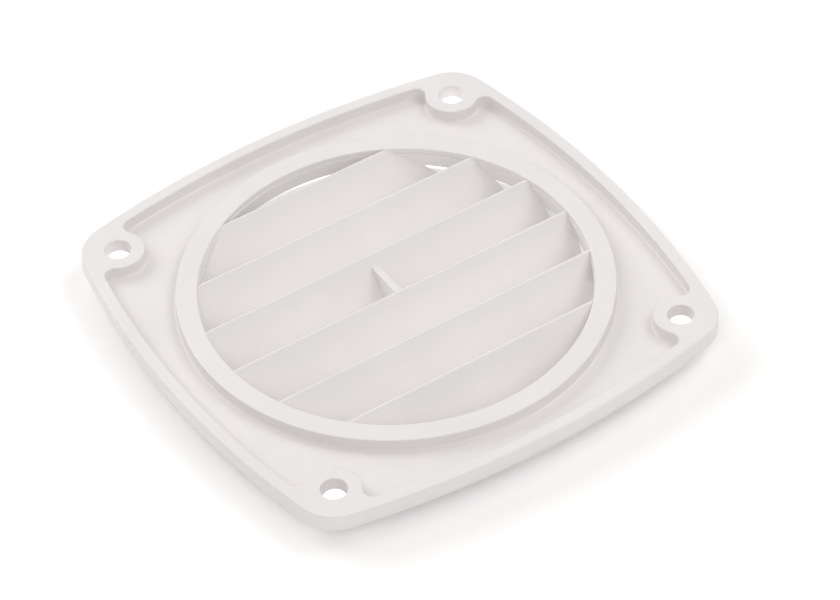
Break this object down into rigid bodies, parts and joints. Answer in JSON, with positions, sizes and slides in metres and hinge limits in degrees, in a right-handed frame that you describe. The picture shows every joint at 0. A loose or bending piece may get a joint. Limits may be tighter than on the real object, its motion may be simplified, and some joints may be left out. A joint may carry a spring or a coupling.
{
  "type": "roof vent cover",
  "caption": "Square louvred vent cover with bulged sides, round collared airway, slanted fixed blades and countersunk corner screw holes, lying face down.",
  "frame": {"origin": "on the plane of the louvre toes, under the centre of the airway, with the cover lying face down", "axes": "+X along the louvre blades, +Y towards the side that the blades' back edges lean to, +Z out of the mounting back"},
  "size_m": [0.127, 0.127, 0.009],
  "materials": {
    "white_plastic": "satin"
  },
  "bodies": {
    "root": {"face_plate": "white_plastic", "collar_ring": "white_plastic", "rim_east": "white_plastic", "rim_north": "white_plastic", "rim_west": "white_plastic", "rim_south": "white_plastic", "screw_pad_northeast": "white_plastic", "screw_pad_northwest": "white_plastic", "screw_pad_southwest": "white_plastic", "screw_pad_southeast": "white_plastic", "louvre_blade_1": "white_plastic", "louvre_blade_2": "white_plastic", "louvre_blade_3": "white_plastic", "louvre_blade_4": "white_plastic", "louvre_blade_5": "white_plastic", "louvre_blade_6": "white_plastic", "centre_rib": "white_plastic"}
  },
  "joints": []
}
